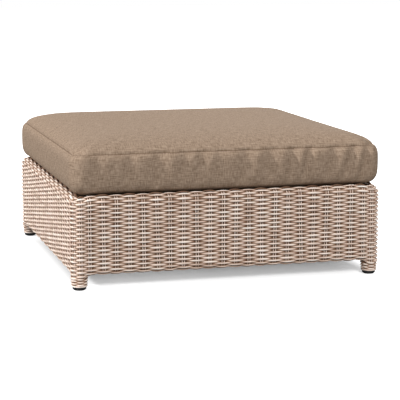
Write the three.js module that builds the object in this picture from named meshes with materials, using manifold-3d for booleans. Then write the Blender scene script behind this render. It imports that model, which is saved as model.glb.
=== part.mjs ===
// Outdoor ottoman footstool: a square wicker base on a welded tube frame, a webbing deck
// across it, and one loose boxed cushion with a zip in its rear boxing.
// Millimetres, +Z up, origin on the floor under the centre. The front faces -Y, +X is right.

import * as THREE from "three";
import { mergeVertices } from "three/addons/utils/BufferGeometryUtils.js";
import Module from "manifold-3d";

const wasm = await Module();
wasm.setup();

// Overall sizes
const WIDTH = 900; // outside of the wicker, along X
const DEPTH = 900; // outside of the wicker, along Y
const APRON_BOTTOM = 40; // lower edge of the wicker above the floor
const BASE_TOP = 263; // crest of the rounded wicker border
const CUSHION_RISE = 157; // from that crest to the cushion's crown

// Clearances
const GAP = 0.3; // between touching pieces
const HALF_GAP = GAP / 2; // on each side of a butt joint
const OVERRUN = 60; // how far a cutter runs past what it cuts

// Frame tubes
const LEG_RADIUS = 15;
const LEG_WALL = 1.5;
const LEG_TOP_RISE = 8; // how far the leg stands above the top rail's centre line
const TOP_RAIL_RADIUS = 10;
const BOTTOM_RAIL_RADIUS = 8;
const RAIL_WALL = 1.5;
const UPRIGHT_RADIUS = 8;
const UPRIGHT_WALL = 1.2;
const SEAT_RAIL_SIDE = 25; // square tube under the webbing
const SEAT_RAIL_WALL = 1.5;
const SEAT_RAIL_DROP = 13; // its top below the wicker's crest
const BRACE_WIDTH = 25;
const BRACE_HEIGHT = 22;
const BRACE_WALL = 1.5;

// Wicker
const WEAVE = 10.7; // two strands and the stakes between them
const STRAND = 5.3; // across a strand, which is how far the weave swings in and out
const STAKE_PITCH = 37.85; // from one pair of stakes to the next
const ROW_PITCH = 6.03; // from one row of strand to the next
const LIP_ROWS = 3; // rows that show where the apron turns under
const LIP_ANGLE = THREE.MathUtils.degToRad(50); // how far the apron turns up behind the bottom rail
const FOOT_RADIUS = 22.5; // the wrapped foot just above its glide
const CORNER_DROP = 28; // height of the rounding over a corner

// Glides
const GLIDE_HEIGHT = 9;
const GLIDE_RADIUS = 19;
const GLIDE_FACE_RADIUS = 14.5;
const GLIDE_ROUNDING = 4;
const GLIDE_PLUG_LENGTH = 24;

// Webbing
const STRAPS_PER_WAY = 4;
const STRAP_WIDTH = 75;
const STRAP_THICKNESS = 1.5;
const STRAP_BEARING = 15; // on the seat rail at each end
const STRAP_FLAT_MARGIN = 4; // level stretch past the strap that it crosses

// Zip
const ZIP_LENGTH = 600;
const ZIP_TAPE_HEIGHT = 26;
const ZIP_CHAIN_HEIGHT = 5;
const ZIP_CHAIN_RISE = 1;
const ZIP_STOP_LENGTH = 3;
const ZIP_STOP_RISE = 0.8;
const ZIP_STOP_INSET = 4; // from the tape's end
const SLIDER_LENGTH = 10;
const SLIDER_PLATE = 0.8;
const SLIDER_FLANGE = 1.4;
const EAR_LENGTH = 3;
const EAR_THICKNESS = 1;
const PIN_RADIUS = 0.5;
const EYE_WALL = 0.5;
const EYE_HEIGHT = 3.4;
const PULL_LENGTH = 24;
const PULL_WIDTH = 6;
const PULL_THICKNESS = 0.9;
const PULL_NECK = 4; // from the pin to where the pull widens

// Cushion
const CORNER_RADIUS = 40; // of the cushion's plan at its widest
const COVER = 1.2; // fabric and lining
const CUSHION_LOOSE = 0.5; // between cover, fibre and foam
const FIBRE = 12;
const UNDER_EDGE = 24; // from the cushion's side in to where it leaves the border
const BOXING_HEIGHT = 107.5; // from the border's crest to the top seam
const FIBRE_MOUTH_HEIGHT = 46; // the fibre is left open behind the zip
const MOUTH_LENGTH = 640;
const CORNER_STEPS = 6;

// The underside belly, from the centre out: share of the half width, share of its rise
const BELLY_SHARES = [
  [1, 0],
  [0.62, 0.03],
  [0.32, 0.2],
  [0.15, 0.55],
];
// The boxing, from the border up to the seam: share of UNDER_EDGE drawn in, share of its height
const SIDE_SHARES = [
  [1, 0],
  [0.32, 0.07],
  [0.08, 0.2],
  [0, 0.34],
  [0, 0.66],
  [0.07, 0.8],
  [0.25, 0.91],
  [0.55, 1],
];
// The crown, from the seam to the centre: share of the half width, share of the crown's rise
const CROWN_SHARES = [
  [0.05, 0.3],
  [0.1, 0.47],
  [0.16, 0.61],
  [0.24, 0.75],
  [0.36, 0.88],
  [0.5, 0.955],
  [0.72, 0.994],
];
const ZIP_HEIGHT_SHARE = 0.5; // of the boxing, where it stands upright

// Derived places
const LEG_INSET = WEAVE + GAP + LEG_RADIUS;
const TOP_RAIL_INSET = WEAVE + GAP + TOP_RAIL_RADIUS;
const TOP_RAIL_Z = BASE_TOP - TOP_RAIL_INSET;
const BOTTOM_RAIL_INSET = WEAVE + GAP + BOTTOM_RAIL_RADIUS;
const BOTTOM_RAIL_Z = APRON_BOTTOM + BOTTOM_RAIL_INSET;
const LEG_TOP = TOP_RAIL_Z + LEG_TOP_RISE;
const SEAT_RAIL_TOP = BASE_TOP - SEAT_RAIL_DROP;
const SEAT_RAIL_INSET = TOP_RAIL_INSET + TOP_RAIL_RADIUS + GAP;
const SEAT_RAIL_INNER = SEAT_RAIL_INSET + SEAT_RAIL_SIDE;
const STRAP_RISE = (STRAP_THICKNESS + GAP) / 2 + HALF_GAP; // each strap's swing over and under
const STRAP_Z = SEAT_RAIL_TOP + GAP + STRAP_THICKNESS / 2;
const DECK_TOP = STRAP_Z + STRAP_RISE + STRAP_THICKNESS / 2;
const BRACE_TOP = SEAT_RAIL_TOP - 2 * GAP;
const SEAT_Z = BASE_TOP + GAP;
const CROWN_Z = BASE_TOP + CUSHION_RISE;
const BELLY_Z = DECK_TOP + GAP;
const PIN_STANDOUT = ZIP_CHAIN_RISE + GAP + SLIDER_PLATE + GAP + EYE_WALL + GAP + PIN_RADIUS;
const EYE_RADIUS = PIN_RADIUS + GAP + EYE_WALL;
const ZIP_STANDOUT = PIN_STANDOUT + EYE_RADIUS;
const CUSHION_HALF_X = WIDTH / 2;
const CUSHION_HALF_Y = (DEPTH - ZIP_STANDOUT) / 2; // the zip's pull stays over the wicker
const CUSHION_Y = -ZIP_STANDOUT / 2;
const CUSHION_BACK = CUSHION_Y + CUSHION_HALF_Y;
const ZIP_Z = SEAT_Z + ZIP_HEIGHT_SHARE * BOXING_HEIGHT;

const material = (color, roughness, metalness) =>
  new THREE.MeshStandardMaterial({ color, roughness, metalness });

const finishes = {
  fabric: () => material(0xa8917d, 0.9, 0),
  fibre: () => material(0xf2f0ea, 1, 0),
  foam: () => material(0xe9dfb8, 0.95, 0),
  wicker: () => material(0xbfae9e, 0.6, 0),
  frame: () => material(0x6f5d4e, 0.5, 0.6),
  glide: () => material(0x1a1a1c, 0.5, 0),
  webbing: () => material(0x4a3d33, 0.85, 0),
  tape: () => material(0x8d7a68, 0.85, 0),
  zinc: () => material(0x8a8478, 0.35, 0.9),
};

function named(name, geometry, finish) {
  const mesh = new THREE.Mesh(geometry, finishes[finish]());
  mesh.name = name;
  return mesh;
}

// Booleans: a geometry as a solid, and a solid back as a geometry
function solid(geometry) {
  const bare = geometry.clone();
  bare.deleteAttribute("normal");
  bare.deleteAttribute("uv");
  const merged = mergeVertices(bare, 1e-4);
  return new wasm.Manifold(
    new wasm.Mesh({
      numProp: 3,
      vertProperties: new Float32Array(merged.attributes.position.array),
      triVerts: new Uint32Array(merged.index.array),
    }),
  );
}

function geometryOf(manifold) {
  const { vertProperties, triVerts } = manifold.getMesh();
  const geometry = new THREE.BufferGeometry();
  geometry.setAttribute("position", new THREE.BufferAttribute(vertProperties, 3));
  geometry.setIndex(new THREE.BufferAttribute(triVerts, 1));
  geometry.computeVertexNormals();
  return geometry;
}

const cut = (geometry, ...cutters) =>
  geometryOf(cutters.reduce((left, cutter) => left.subtract(solid(cutter)), solid(geometry)));

const join = (...geometries) =>
  geometryOf(geometries.map(solid).reduce((all, next) => all.add(next)));

// Basic shapes: a box between two corners, a round bar or tube up Z, a flat outline pulled along X
function box(low, high) {
  const size = high.map((value, axis) => value - low[axis]);
  const centre = high.map((value, axis) => (value + low[axis]) / 2);
  return new THREE.BoxGeometry(...size).translate(...centre);
}

function bar(radius, low, high, sides) {
  const height = high - low;
  return new THREE.CylinderGeometry(radius, radius, height, sides)
    .rotateX(Math.PI / 2)
    .translate(0, 0, (low + high) / 2);
}

function lathe(outline, sides) {
  const points = outline.map(([radius, height]) => new THREE.Vector2(radius, height));
  return new THREE.LatheGeometry(points, sides).rotateX(Math.PI / 2);
}

function tube(radius, wall, low, high, sides) {
  const bore = radius - wall;
  return lathe([[bore, low], [radius, low], [radius, high], [bore, high], [bore, low]], sides);
}

// An outline of [inset, height] points pulled along X from low to high. The inset grows with +Y.
function alongX(outline, low, high, hole) {
  const shape = new THREE.Shape(outline.map(([inset, height]) => new THREE.Vector2(inset, height)));
  if (hole) shape.holes.push(new THREE.Path(hole.map(([x, y]) => new THREE.Vector2(x, y))));
  return new THREE.ExtrudeGeometry(shape, { depth: high - low, bevelEnabled: false })
    .rotateX(Math.PI / 2)
    .rotateZ(Math.PI / 2)
    .translate(low, 0, 0);
}

const rectangle = (low, high) => [
  [low[0], low[1]],
  [high[0], low[1]],
  [high[0], high[1]],
  [low[0], high[1]],
];

// Points of an arc about a centre, angles from +inset towards +height
const arc = (centre, radius, from, to, steps) =>
  Array.from({ length: steps + 1 }, (_, step) => {
    const angle = from + ((to - from) * step) / steps;
    return [centre[0] + radius * Math.cos(angle), centre[1] + radius * Math.sin(angle)];
  });

// A solid along X with a woven skin. skin holds the skin's outline at each place, and plain the
// rest of the outline, the same at all of them, in [inset, height] points that run anticlockwise
// seen from +X. A quad of the skin is split along the diagonal that lies deeper.
function skinned(places, skin, plain) {
  const rows = skin[0].length;
  const last = places.length - 1;
  const start = rows * places.length;
  const points = places.flatMap((x, column) => skin[column].map(([y, z]) => [x, y, z]));
  for (const x of [places[0], places[last]]) points.push(...plain.map(([y, z]) => [x, y, z]));
  const at = (column, row) => column * rows + row;
  const low = (index) => start + index;
  const high = (index) => start + plain.length + index;
  const inset = (point) => points[point][1];
  const faces = [];
  for (let column = 0; column < last; column += 1) {
    for (let row = 0; row + 1 < rows; row += 1) {
      const [a, b] = [at(column, row), at(column, row + 1)];
      const [c, d] = [at(column + 1, row + 1), at(column + 1, row)];
      if (inset(a) + inset(c) > inset(b) + inset(d)) faces.push([a, b, c], [a, c, d]);
      else faces.push([a, b, d], [b, c, d]);
    }
    faces.push([at(column, rows - 1), low(0), at(column + 1, rows - 1)]);
    faces.push([low(plain.length - 1), at(column, 0), at(column + 1, 0)]);
  }
  faces.push([at(last, rows - 1), low(0), high(0)]);
  faces.push([low(plain.length - 1), at(last, 0), high(plain.length - 1)]);
  for (let index = 0; index + 1 < plain.length; index += 1) {
    faces.push([low(index), low(index + 1), high(index + 1)]);
    faces.push([low(index), high(index + 1), high(index)]);
  }
  for (const [column, beyond] of [[0, low], [last, high]]) {
    const outline = [...skin[column], ...plain].map(([y, z]) => new THREE.Vector2(y, z));
    const place = (index) => (index < rows ? at(column, index) : beyond(index - rows));
    for (const face of THREE.ShapeUtils.triangulateShape(outline, [])) {
      const corners = face.map(place);
      faces.push(column === 0 ? corners.reverse() : corners);
    }
  }
  const geometry = new THREE.BufferGeometry();
  geometry.setAttribute("position", new THREE.Float32BufferAttribute(points.flat(), 3));
  geometry.setIndex(faces.flat());
  return geometry;
}

// The four sides of the base. Each is made with its outer face on y = 0 and turned into place.
const SIDES = [
  { name: "front", turn: 0, span: WIDTH, reach: DEPTH / 2 },
  { name: "right", turn: Math.PI / 2, span: DEPTH, reach: WIDTH / 2 },
  { name: "back", turn: Math.PI, span: WIDTH, reach: DEPTH / 2 },
  { name: "left", turn: -Math.PI / 2, span: DEPTH, reach: WIDTH / 2 },
];

// A cutter the shape of a leg, with its clearance, at both ends of a side
const legCutters = (span, top) =>
  [-1, 1].map((end) =>
    bar(LEG_RADIUS + GAP, -OVERRUN, top, 24).translate(end * (span / 2 - LEG_INSET), LEG_INSET, 0),
  );

function railOf(span, radius, inset, height) {
  const half = span / 2 - LEG_INSET;
  const pipe = tube(radius, RAIL_WALL, -half, half, 16).rotateY(Math.PI / 2);
  return cut(pipe.translate(0, inset, height), ...legCutters(span, BASE_TOP + OVERRUN));
}

function uprightOf() {
  const post = tube(UPRIGHT_RADIUS, UPRIGHT_WALL, BOTTOM_RAIL_Z, TOP_RAIL_Z, 16)
    .translate(0, TOP_RAIL_INSET, 0);
  const reach = UPRIGHT_RADIUS + OVERRUN;
  const rail = (radius, inset, height) =>
    bar(radius + GAP, -reach, reach, 24).rotateY(Math.PI / 2).translate(0, inset, height);
  return cut(
    post,
    rail(BOTTOM_RAIL_RADIUS, BOTTOM_RAIL_INSET, BOTTOM_RAIL_Z),
    rail(TOP_RAIL_RADIUS, TOP_RAIL_INSET, TOP_RAIL_Z),
  );
}

// Cutters past the diagonal at both ends of a side, where the inner parts of two sides meet
function mitreCutters(span) {
  const reach = LEG_INSET + OVERRUN;
  return [-1, 1].map((end) =>
    box([-HALF_GAP, -reach, -reach], [2 * reach, reach, BASE_TOP + reach])
      .rotateZ(Math.PI / 2 - (end * Math.PI) / 4)
      .translate(end * (span / 2 - LEG_INSET), LEG_INSET, 0),
  );
}

// Columns of the weave along a side: its pairs of stakes, and the side's two ends
function columnsOf(half) {
  const pairs = Math.floor(half / STAKE_PITCH);
  const inner = Array.from({ length: 2 * pairs }, (_, index) => index - pairs + 0.5);
  return [-half, ...inner.map((place) => place * STAKE_PITCH), half];
}

// The outer line of the weave at a column, from the top row down round the lip. Each row passes
// in front of one pair of stakes and a strand's thickness deeper behind the next, in turn.
function wovenLine(column) {
  const top = Math.floor((TOP_RAIL_Z - BOTTOM_RAIL_Z) / ROW_PITCH - 0.5);
  return Array.from({ length: top + LIP_ROWS + 1 }, (_, index) => {
    const row = top - index;
    const behind = (row + column) % 2 === 0;
    const radius = BOTTOM_RAIL_INSET - (behind ? STRAND : 0);
    const turn = (Math.min(0, row) * ROW_PITCH) / BOTTOM_RAIL_INSET;
    const height = BOTTOM_RAIL_Z + Math.max(0, row) * ROW_PITCH;
    return [BOTTOM_RAIL_INSET - radius * Math.cos(turn), height + radius * Math.sin(turn)];
  });
}

// The apron: an upright woven panel whose lower edge turns under the bottom rail
function panelOf(span) {
  const half = span / 2 - LEG_INSET - HALF_GAP;
  const centre = [BOTTOM_RAIL_INSET, BOTTOM_RAIL_Z];
  const start = Math.PI + ((LIP_ROWS + 1) * ROW_PITCH) / BOTTOM_RAIL_INSET;
  const end = 1.5 * Math.PI + LIP_ANGLE;
  const columns = columnsOf(half);
  const [hem, ...lip] = arc(centre, BOTTOM_RAIL_INSET, start, end, 4);
  const inside = arc(centre, BOTTOM_RAIL_RADIUS + GAP, end, Math.PI, 7);
  const top = TOP_RAIL_Z - HALF_GAP;
  const skin = columns.map((_, column) => [[0, top], ...wovenLine(column), hem]);
  const legs = legCutters(span, BASE_TOP + OVERRUN);
  const panel = skinned(columns, skin, [...lip, ...inside, [WEAVE, top]]);
  return cut(panel, ...mitreCutters(span), ...legs);
}

// The border: a half round shell over the top rail, ending on the seat rail and mitred inside
function borderOf(span) {
  const half = span / 2 - LEG_INSET - HALF_GAP;
  const centre = [TOP_RAIL_INSET, TOP_RAIL_Z];
  const foot = SEAT_RAIL_TOP + GAP - TOP_RAIL_Z;
  const bore = TOP_RAIL_RADIUS + GAP;
  const outline = [
    ...arc(centre, TOP_RAIL_INSET, Math.PI, Math.asin(foot / TOP_RAIL_INSET), 12),
    ...arc(centre, bore, Math.asin(Math.min(1, foot / bore)), Math.PI, 8),
  ];
  const legs = legCutters(span, LEG_TOP + GAP);
  return cut(alongX(outline, -half, half), ...mitreCutters(span), ...legs);
}

function sideOf({ name, turn, span, reach }) {
  const side = new THREE.Group();
  side.add(
    named(`top_rail_${name}`, railOf(span, TOP_RAIL_RADIUS, TOP_RAIL_INSET, TOP_RAIL_Z), "frame"),
    named(
      `bottom_rail_${name}`,
      railOf(span, BOTTOM_RAIL_RADIUS, BOTTOM_RAIL_INSET, BOTTOM_RAIL_Z),
      "frame",
    ),
    named(`upright_${name}`, uprightOf(), "frame"),
    named(`wicker_panel_${name}`, panelOf(span), "wicker"),
    named(`wicker_border_${name}`, borderOf(span), "wicker"),
  );
  const turned = new THREE.Group();
  side.position.y = -reach;
  turned.rotation.z = turn;
  turned.add(side);
  return turned;
}

// The four corners. Each is made about the leg's axis for the front left and turned into place.
const CORNERS = [
  { name: "front_left", turn: 0, x: -1, y: -1 },
  { name: "front_right", turn: Math.PI / 2, x: 1, y: -1 },
  { name: "back_right", turn: Math.PI, x: 1, y: 1 },
  { name: "back_left", turn: -Math.PI / 2, x: -1, y: 1 },
];

// A black glide: a flat face on the floor, a rounded rim, a flange under the leg and a plug in it
function glideOf() {
  const plug = LEG_RADIUS - LEG_WALL - GAP;
  return lathe(
    [
      [0, 0],
      [GLIDE_FACE_RADIUS, 0],
      [GLIDE_RADIUS, GLIDE_ROUNDING],
      [GLIDE_RADIUS, GLIDE_HEIGHT],
      [plug, GLIDE_HEIGHT],
      [plug, GLIDE_HEIGHT + GLIDE_PLUG_LENGTH],
      [0, GLIDE_HEIGHT + GLIDE_PLUG_LENGTH],
    ],
    24,
  );
}

// Wicker round a corner: the wrapped foot, a quarter round skin up the leg and a domed top
function wickerCornerOf() {
  const foot = GLIDE_HEIGHT + GAP;
  const dome = Array.from({ length: 7 }, (_, step) => {
    const angle = (step * Math.PI) / 12;
    return [LEG_INSET * Math.cos(angle), BASE_TOP - CORNER_DROP * (1 - Math.sin(angle))];
  });
  dome[dome.length - 1][0] = 0;
  const round = lathe([[0, foot], [FOOT_RADIUS, foot], [LEG_INSET, APRON_BOTTOM], ...dome], 24);
  const reach = LEG_INSET + OVERRUN;
  const low = APRON_BOTTOM - GAP;
  return cut(
    round,
    bar(LEG_RADIUS + GAP, -OVERRUN, LEG_TOP + GAP, 24),
    box([-HALF_GAP, -reach, low], [reach, reach, BASE_TOP + reach]),
    box([-reach, -HALF_GAP, low], [reach, reach, BASE_TOP + reach]),
  );
}

function cornerOf({ name, turn, x, y }) {
  const corner = new THREE.Group();
  corner.add(
    named(`leg_${name}`, tube(LEG_RADIUS, LEG_WALL, GLIDE_HEIGHT + GAP, LEG_TOP, 24), "frame"),
    named(`glide_${name}`, glideOf(), "glide"),
    named(`wicker_corner_${name}`, wickerCornerOf(), "wicker"),
  );
  corner.position.set(x * (WIDTH / 2 - LEG_INSET), y * (DEPTH / 2 - LEG_INSET), 0);
  corner.rotation.z = turn;
  return corner;
}

// Square tube rails inside the top rails: front and back between the legs, the others between them
function seatRailOf({ name, span, reach }) {
  const across = name === "front" || name === "back";
  const half = span / 2 - (across ? SEAT_RAIL_INSET : SEAT_RAIL_INNER + GAP);
  const side = SEAT_RAIL_SIDE / 2;
  const bore = side - SEAT_RAIL_WALL;
  const rail = alongX(
    rectangle([-side, -side], [side, side]),
    -half,
    half,
    rectangle([-bore, -bore], [bore, bore]),
  );
  rail.translate(0, SEAT_RAIL_INSET + side, SEAT_RAIL_TOP - side);
  return cut(rail, ...legCutters(span, BASE_TOP + OVERRUN)).translate(0, -reach, 0);
}

function seatRails() {
  const group = new THREE.Group();
  for (const side of SIDES) {
    const rail = named(`seat_rail_${side.name}`, seatRailOf(side), "frame");
    rail.rotation.z = side.turn;
    group.add(rail);
  }
  return group;
}

// One square tube from the front seat rail to the back one, under the middle of the webbing
function deckBrace() {
  const half = DEPTH / 2 - SEAT_RAIL_INNER - GAP;
  const outer = rectangle([-BRACE_WIDTH / 2, -BRACE_HEIGHT], [BRACE_WIDTH / 2, 0]);
  const bore = BRACE_WIDTH / 2 - BRACE_WALL;
  const inner = rectangle([-bore, BRACE_WALL - BRACE_HEIGHT], [bore, -BRACE_WALL]);
  const brace = named("deck_brace", alongX(outer, -half, half, inner), "frame");
  brace.rotation.z = Math.PI / 2;
  brace.position.z = BRACE_TOP;
  return brace;
}

// Webbing: a strap swings over and under the straps that cross it, and lies flat on the rails
function strapOf(length, crossings, first) {
  const flat = STRAP_WIDTH / 2 + STRAP_FLAT_MARGIN;
  const route = [[-length / 2, 0], [-length / 2 + STRAP_BEARING + STRAP_FLAT_MARGIN, 0]];
  crossings.forEach((place, index) => {
    const swing = (index % 2 ? -first : first) * STRAP_RISE;
    route.push([place - flat, swing], [place + flat, swing]);
  });
  route.push([length / 2 - STRAP_BEARING - STRAP_FLAT_MARGIN, 0], [length / 2, 0]);
  const edge = (offset) => route.map(([along, up]) => [along, up + offset]);
  const outline = [...edge(-STRAP_THICKNESS / 2), ...edge(STRAP_THICKNESS / 2).reverse()];
  const shape = new THREE.Shape(outline.map(([along, up]) => new THREE.Vector2(along, up)));
  return new THREE.ExtrudeGeometry(shape, { depth: STRAP_WIDTH, bevelEnabled: false })
    .translate(0, 0, -STRAP_WIDTH / 2)
    .rotateX(Math.PI / 2);
}

const strapPlaces = (span) =>
  Array.from(
    { length: STRAPS_PER_WAY },
    (_, index) => ((index + 0.5) / STRAPS_PER_WAY - 0.5) * (span - 2 * SEAT_RAIL_INNER),
  );

function webbing() {
  const group = new THREE.Group();
  const inX = strapPlaces(WIDTH);
  const inY = strapPlaces(DEPTH);
  const spare = 2 * (SEAT_RAIL_INNER - STRAP_BEARING);
  inY.forEach((place, index) => {
    const first = index % 2 ? -1 : 1;
    const strap = named(`strap_across_${index + 1}`, strapOf(WIDTH - spare, inX, first), "webbing");
    strap.position.set(0, place, STRAP_Z);
    group.add(strap);
  });
  inX.forEach((place, index) => {
    const first = index % 2 ? 1 : -1;
    const strap = named(`strap_along_${index + 1}`, strapOf(DEPTH - spare, inY, first), "webbing");
    strap.rotation.z = Math.PI / 2;
    strap.position.set(place, 0, STRAP_Z);
    group.add(strap);
  });
  return group;
}

// The cushion's form: rings round a profile, each a rounded rectangle that turns into an oval
// towards the middle of the belly and of the crown. It is drawn inwards by the given depth.
function cushionProfile() {
  const side = SIDE_SHARES.map(([drawn, up]) => [drawn * UNDER_EDGE, SEAT_Z + up * BOXING_HEIGHT]);
  const seam = SEAT_Z + BOXING_HEIGHT;
  const half = Math.min(CUSHION_HALF_X, CUSHION_HALF_Y);
  const belly = BELLY_SHARES.map(([inset, up]) => [inset * half, BELLY_Z + up * (SEAT_Z - BELLY_Z)]);
  const crown = CROWN_SHARES.map(([inset, up]) => [inset * half, seam + up * (CROWN_Z - seam)]);
  return [...belly, ...side, ...crown, [half, CROWN_Z]];
}

function cushionForm(depth) {
  const half = Math.min(CUSHION_HALF_X, CUSHION_HALF_Y);
  const middle = (BELLY_Z + CROWN_Z) / 2;
  const squash = 1 - (2 * depth) / (CROWN_Z - BELLY_Z);
  const rings = cushionProfile().map(([inset, height]) => {
    const share = (half - inset) / half;
    const across = share * (CUSHION_HALF_X - depth);
    const along = share * (CUSHION_HALF_Y - depth);
    const least = Math.min(across, along);
    const oval = Math.min(1, Math.max(0, (0.9 - share) / 0.9)) ** 1.5;
    const corner = Math.min(least, ((CORNER_RADIUS - depth) / (half - depth)) * least);
    return { across, along, corner: corner + (least - corner) * oval, z: middle + (height - middle) * squash };
  });
  const positions = [];
  for (const { across, along, corner, z } of rings.slice(1, -1))
    for (let quarter = 0; quarter < 4; quarter++)
      for (let step = 0; step <= CORNER_STEPS; step++) {
        const angle = ((quarter + step / CORNER_STEPS) * Math.PI) / 2;
        const sx = quarter === 0 || quarter === 3 ? 1 : -1;
        const sy = quarter < 2 ? 1 : -1;
        const x = sx * (across - corner) + corner * Math.cos(angle);
        positions.push(x, CUSHION_Y + sy * (along - corner) + corner * Math.sin(angle), z);
      }
  const around = 4 * (CORNER_STEPS + 1);
  const count = rings.length - 2;
  const bottom = positions.length / 3;
  positions.push(0, CUSHION_Y, rings[0].z, 0, CUSHION_Y, rings[rings.length - 1].z);
  const faces = [];
  for (let point = 0; point < around; point++) {
    const next = (point + 1) % around;
    faces.push(bottom, next, point);
    const last = (count - 1) * around;
    faces.push(bottom + 1, last + point, last + next);
    for (let ring = 0; ring < count - 1; ring++) {
      const a = ring * around;
      const b = a + around;
      faces.push(a + point, a + next, b + next, a + point, b + next, b + point);
    }
  }
  const geometry = new THREE.BufferGeometry();
  geometry.setAttribute("position", new THREE.Float32BufferAttribute(positions, 3));
  geometry.setIndex(faces);
  return geometry;
}

// A box at the back of the cushion, centred on the zip
const backBox = (length, height, front) =>
  box(
    [-length / 2, front, ZIP_Z - height / 2],
    [length / 2, CUSHION_BACK + OVERRUN, ZIP_Z + height / 2],
  );

function zipTape() {
  const back = CUSHION_BACK;
  const chain = box(
    [-ZIP_LENGTH / 2 + ZIP_STOP_INSET, back - COVER / 2, ZIP_Z - ZIP_CHAIN_HEIGHT / 2],
    [ZIP_LENGTH / 2 - ZIP_STOP_INSET, back + ZIP_CHAIN_RISE, ZIP_Z + ZIP_CHAIN_HEIGHT / 2],
  );
  const tape = box(
    [-ZIP_LENGTH / 2, back - COVER, ZIP_Z - ZIP_TAPE_HEIGHT / 2],
    [ZIP_LENGTH / 2, back, ZIP_Z + ZIP_TAPE_HEIGHT / 2],
  );
  const stops = [-1, 1].map((end) => {
    const place = end * (ZIP_LENGTH / 2 - ZIP_STOP_INSET - ZIP_STOP_LENGTH / 2);
    return box(
      [place - ZIP_STOP_LENGTH / 2, back, ZIP_Z - ZIP_CHAIN_HEIGHT / 2],
      [place + ZIP_STOP_LENGTH / 2, back + ZIP_CHAIN_RISE + ZIP_STOP_RISE, ZIP_Z + ZIP_CHAIN_HEIGHT / 2],
    );
  });
  return join(tape, chain, ...stops);
}

// The closed end of the zip is at +X
const SLIDER_X = ZIP_LENGTH / 2 - ZIP_STOP_INSET - ZIP_STOP_LENGTH - GAP - SLIDER_LENGTH / 2;
const PIN_Y = CUSHION_BACK + PIN_STANDOUT;

// The slider: a plate over the chain, a flange along each side of it, two ears and the pull's pin
function zipSlider() {
  const half = ZIP_CHAIN_HEIGHT / 2 + GAP;
  const plateLow = CUSHION_BACK + ZIP_CHAIN_RISE + GAP;
  const plateHigh = plateLow + SLIDER_PLATE;
  const reach = [-SLIDER_LENGTH / 2, SLIDER_LENGTH / 2];
  const plate = box(
    [reach[0], plateLow, -half - SLIDER_FLANGE],
    [reach[1], plateHigh, half + SLIDER_FLANGE],
  );
  const flanges = [-1, 1].map((side) => {
    const inner = side * half;
    const outer = side * (half + SLIDER_FLANGE);
    return box(
      [reach[0], CUSHION_BACK + GAP, Math.min(inner, outer)],
      [reach[1], plateHigh, Math.max(inner, outer)],
    );
  });
  const earInner = EYE_HEIGHT / 2 + GAP;
  const ears = [-1, 1].map((side) => {
    const faces = [side * earInner, side * (earInner + EAR_THICKNESS)];
    return box(
      [-EAR_LENGTH / 2, plateHigh - SLIDER_PLATE / 2, Math.min(...faces)],
      [EAR_LENGTH / 2, PIN_Y + PIN_RADIUS + GAP, Math.max(...faces)],
    );
  });
  const pinEnd = earInner + EAR_THICKNESS / 2;
  const pin = bar(PIN_RADIUS, -pinEnd, pinEnd, 16).translate(0, PIN_Y, 0);
  return join(plate, ...flanges, ...ears, pin);
}

// The pull: an eye round the pin, a neck between the ears and a wider tab
function zipPull() {
  const eye = tube(EYE_RADIUS, EYE_WALL, -EYE_HEIGHT / 2, EYE_HEIGHT / 2, 16);
  const neck = box(
    [-PULL_NECK - PULL_THICKNESS, -PULL_THICKNESS / 2, -EYE_HEIGHT / 2],
    [-EYE_RADIUS + EYE_WALL / 2, PULL_THICKNESS / 2, EYE_HEIGHT / 2],
  );
  const tab = box(
    [-PULL_LENGTH, -PULL_THICKNESS / 2, -PULL_WIDTH / 2],
    [-PULL_NECK, PULL_THICKNESS / 2, PULL_WIDTH / 2],
  );
  return join(eye, neck, tab);
}

function cushion() {
  const group = new THREE.Group();
  const inner = COVER + CUSHION_LOOSE;
  const core = inner + FIBRE;
  const slit = backBox(ZIP_LENGTH + 2 * GAP, ZIP_TAPE_HEIGHT + 2 * GAP, CUSHION_BACK - core);
  const mouth = backBox(MOUTH_LENGTH, FIBRE_MOUTH_HEIGHT, CUSHION_BACK - core - FIBRE);
  group.add(
    named("cushion_cover", cut(cushionForm(0), cushionForm(COVER), slit), "fabric"),
    named("cushion_fibre_wrap", cut(cushionForm(inner), cushionForm(core), mouth), "fibre"),
    named("cushion_foam_core", cushionForm(core + CUSHION_LOOSE), "foam"),
    named("zip_tape", zipTape(), "tape"),
  );
  const slider = named("zip_slider", zipSlider(), "zinc");
  slider.position.set(SLIDER_X, 0, ZIP_Z);
  const pull = named("zip_pull", zipPull(), "zinc");
  pull.position.set(SLIDER_X, PIN_Y, ZIP_Z);
  group.add(slider, pull);
  return group;
}

const ottoman = new THREE.Group();
ottoman.add(
  ...SIDES.map(sideOf),
  ...CORNERS.map(cornerOf),
  seatRails(),
  deckBrace(),
  webbing(),
  cushion(),
);

export default ottoman;
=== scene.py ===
"""Outdoor ottoman footstool: a woven resin wicker base, a webbing deck and a loose boxed cushion."""

import math

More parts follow.
